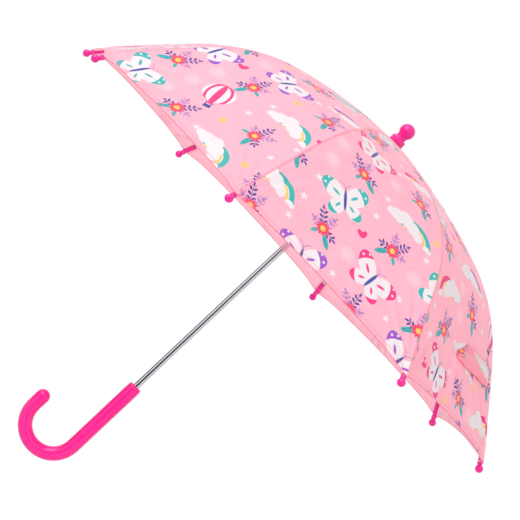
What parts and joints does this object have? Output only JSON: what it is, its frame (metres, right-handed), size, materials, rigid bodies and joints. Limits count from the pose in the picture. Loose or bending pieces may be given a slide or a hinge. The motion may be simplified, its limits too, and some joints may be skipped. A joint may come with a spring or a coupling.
{
  "type": "umbrella",
  "caption": "Open child's umbrella: hooked tube handle, slim shaft and a domed, scalloped fabric canopy on ball-tipped folding ribs.",
  "frame": {"origin": "the middle of the straight grip, on the shaft's axis", "axes": "+Z along the shaft towards the ferrule; the hook bends towards -X; rib 1 lies 13 degrees from +X towards -Y"},
  "size_m": [0.6732, 0.6732, 0.5839],
  "materials": {
    "hot_pink_plastic": "moulded, glossy",
    "chrome_metal": "bright plated",
    "black_plastic": "moulded, satin",
    "plated_steel": "zinc-plated wire and strip",
    "printed_fabric": "thin printed polyester",
    "strap_fabric": "thin printed polyester"
  },
  "bodies": {
    "shaft_body": {"shaft": "chrome_metal", "handle": "hot_pink_plastic", "ferrule": "hot_pink_plastic", "top_notch": "black_plastic", "notch_wire": "plated_steel"},
    "rib_body_1": {"rib_1": "plated_steel", "rib_tip_1": "hot_pink_plastic", "rivet_1": "chrome_metal", "canopy_panel_1": "printed_fabric"},
    "stretcher_body_1": {"stretcher_1": "plated_steel"},
    "rib_body_2": {"rib_2": "plated_steel", "rib_tip_2": "hot_pink_plastic", "rivet_2": "chrome_metal", "canopy_panel_2": "printed_fabric"},
    "stretcher_body_2": {"stretcher_2": "plated_steel"},
    "rib_body_3": {"rib_3": "plated_steel", "rib_tip_3": "hot_pink_plastic", "rivet_3": "chrome_metal", "canopy_panel_3": "printed_fabric"},
    "stretcher_body_3": {"stretcher_3": "plated_steel"},
    "rib_body_4": {"rib_4": "plated_steel", "rib_tip_4": "hot_pink_plastic", "rivet_4": "chrome_metal", "canopy_panel_4": "printed_fabric"},
    "stretcher_body_4": {"stretcher_4": "plated_steel"},
    "rib_body_5": {"rib_5": "plated_steel", "rib_tip_5": "hot_pink_plastic", "rivet_5": "chrome_metal", "canopy_panel_5": "printed_fabric"},
    "stretcher_body_5": {"stretcher_5": "plated_steel"},
    "rib_body_6": {"rib_6": "plated_steel", "rib_tip_6": "hot_pink_plastic", "rivet_6": "chrome_metal", "canopy_panel_6": "printed_fabric"},
    "stretcher_body_6": {"stretcher_6": "plated_steel"},
    "rib_body_7": {"rib_7": "plated_steel", "rib_tip_7": "hot_pink_plastic", "rivet_7": "chrome_metal", "canopy_panel_7": "printed_fabric"},
    "stretcher_body_7": {"stretcher_7": "plated_steel"},
    "rib_body_8": {"rib_8": "plated_steel", "rib_tip_8": "hot_pink_plastic", "rivet_8": "chrome_metal", "canopy_panel_8": "printed_fabric", "closing_strap": "strap_fabric"},
    "stretcher_body_8": {"stretcher_8": "plated_steel"},
    "runner_body": {"runner": "black_plastic", "runner_wire": "plated_steel"},
    "catch_body": {"top_catch": "plated_steel"}
  },
  "joints": [
    {"name": "fold", "type": "hinge", "parent": "shaft_body", "child": "rib_body_1", "pos_m": [0.00877, -0.00202, 0.45776], "axis": [0.225, 0.9744, 0], "range_deg": [0, 59.8], "deforming": ["canopy_panel_1", "top_catch"]},
    {"name": "stretcher_fold_1", "type": "hinge", "parent": "rib_body_1", "child": "stretcher_body_1", "pos_m": [0.15205, -0.0351, 0.42814], "axis": [0.225, 0.9744, 0], "range_deg": [-119.6, 0]},
    {"name": "rib_fold_2", "type": "hinge", "parent": "shaft_body", "child": "rib_body_2", "pos_m": [0.00763, 0.00477, 0.45776], "axis": [-0.5299, 0.848, 0], "range_deg": [0, 59.8], "deforming": ["canopy_panel_2"]},
    {"name": "stretcher_fold_2", "type": "hinge", "parent": "rib_body_2", "child": "stretcher_body_2", "pos_m": [0.13233, 0.08269, 0.42814], "axis": [-0.5299, 0.848, 0], "range_deg": [-119.6, 0]},
    {"name": "rib_fold_3", "type": "hinge", "parent": "shaft_body", "child": "rib_body_3", "pos_m": [0.00202, 0.00877, 0.45776], "axis": [-0.9744, 0.225, 0], "range_deg": [0, 59.8], "deforming": ["canopy_panel_3"]},
    {"name": "stretcher_fold_3", "type": "hinge", "parent": "rib_body_3", "child": "stretcher_body_3", "pos_m": [0.0351, 0.15205, 0.42814], "axis": [-0.9744, 0.225, 0], "range_deg": [-119.6, 0]},
    {"name": "rib_fold_4", "type": "hinge", "parent": "shaft_body", "child": "rib_body_4", "pos_m": [-0.00477, 0.00763, 0.45776], "axis": [-0.848, -0.5299, 0], "range_deg": [0, 59.8], "deforming": ["canopy_panel_4"]},
    {"name": "stretcher_fold_4", "type": "hinge", "parent": "rib_body_4", "child": "stretcher_body_4", "pos_m": [-0.08269, 0.13233, 0.42814], "axis": [-0.848, -0.5299, 0], "range_deg": [-119.6, 0]},
    {"name": "rib_fold_5", "type": "hinge", "parent": "shaft_body", "child": "rib_body_5", "pos_m": [-0.00877, 0.00202, 0.45776], "axis": [-0.225, -0.9744, 0], "range_deg": [0, 59.8], "deforming": ["canopy_panel_5"]},
    {"name": "stretcher_fold_5", "type": "hinge", "parent": "rib_body_5", "child": "stretcher_body_5", "pos_m": [-0.15205, 0.0351, 0.42814], "axis": [-0.225, -0.9744, 0], "range_deg": [-119.6, 0]},
    {"name": "rib_fold_6", "type": "hinge", "parent": "shaft_body", "child": "rib_body_6", "pos_m": [-0.00763, -0.00477, 0.45776], "axis": [0.5299, -0.848, 0], "range_deg": [0, 59.8], "deforming": ["canopy_panel_6"]},
    {"name": "stretcher_fold_6", "type": "hinge", "parent": "rib_body_6", "child": "stretcher_body_6", "pos_m": [-0.13233, -0.08269, 0.42814], "axis": [0.5299, -0.848, 0], "range_deg": [-119.6, 0]},
    {"name": "rib_fold_7", "type": "hinge", "parent": "shaft_body", "child": "rib_body_7", "pos_m": [-0.00202, -0.00877, 0.45776], "axis": [0.9744, -0.225, 0], "range_deg": [0, 59.8], "deforming": ["canopy_panel_7"]},
    {"name": "stretcher_fold_7", "type": "hinge", "parent": "rib_body_7", "child": "stretcher_body_7", "pos_m": [-0.0351, -0.15205, 0.42814], "axis": [0.9744, -0.225, 0], "range_deg": [-119.6, 0]},
    {"name": "rib_fold_8", "type": "hinge", "parent": "shaft_body", "child": "rib_body_8", "pos_m": [0.00477, -0.00763, 0.45776], "axis": [0.848, 0.5299, 0], "range_deg": [0, 59.8], "deforming": ["canopy_panel_8", "closing_strap"]},
    {"name": "stretcher_fold_8", "type": "hinge", "parent": "rib_body_8", "child": "stretcher_body_8", "pos_m": [0.08269, -0.13233, 0.42814], "axis": [0.848, 0.5299, 0], "range_deg": [-119.6, 0]},
    {"name": "runner_level", "type": "hinge", "parent": "stretcher_body_1", "child": "runner_body", "pos_m": [0.00877, -0.00202, 0.39852], "axis": [0.225, 0.9744, 0], "range_deg": [0, 59.8]},
    {"name": "catch_press", "type": "hinge", "parent": "shaft_body", "child": "catch_body", "pos_m": [0, 0, 0.32822], "axis": [0, -1, 0], "range_deg": [0, 8], "stiffness_Nm_per_rad": 0.05}
  ],
  "couplings": [
    {"joint": "stretcher_fold_1", "follows": "fold", "ratio": -2},
    {"joint": "rib_fold_2", "follows": "fold", "ratio": 1},
    {"joint": "stretcher_fold_2", "follows": "fold", "ratio": -2},
    {"joint": "rib_fold_3", "follows": "fold", "ratio": 1},
    {"joint": "stretcher_fold_3", "follows": "fold", "ratio": -2},
    {"joint": "rib_fold_4", "follows": "fold", "ratio": 1},
    {"joint": "stretcher_fold_4", "follows": "fold", "ratio": -2},
    {"joint": "rib_fold_5", "follows": "fold", "ratio": 1},
    {"joint": "stretcher_fold_5", "follows": "fold", "ratio": -2},
    {"joint": "rib_fold_6", "follows": "fold", "ratio": 1},
    {"joint": "stretcher_fold_6", "follows": "fold", "ratio": -2},
    {"joint": "rib_fold_7", "follows": "fold", "ratio": 1},
    {"joint": "stretcher_fold_7", "follows": "fold", "ratio": -2},
    {"joint": "rib_fold_8", "follows": "fold", "ratio": 1},
    {"joint": "stretcher_fold_8", "follows": "fold", "ratio": -2},
    {"joint": "runner_level", "follows": "fold", "ratio": 1}
  ]
}
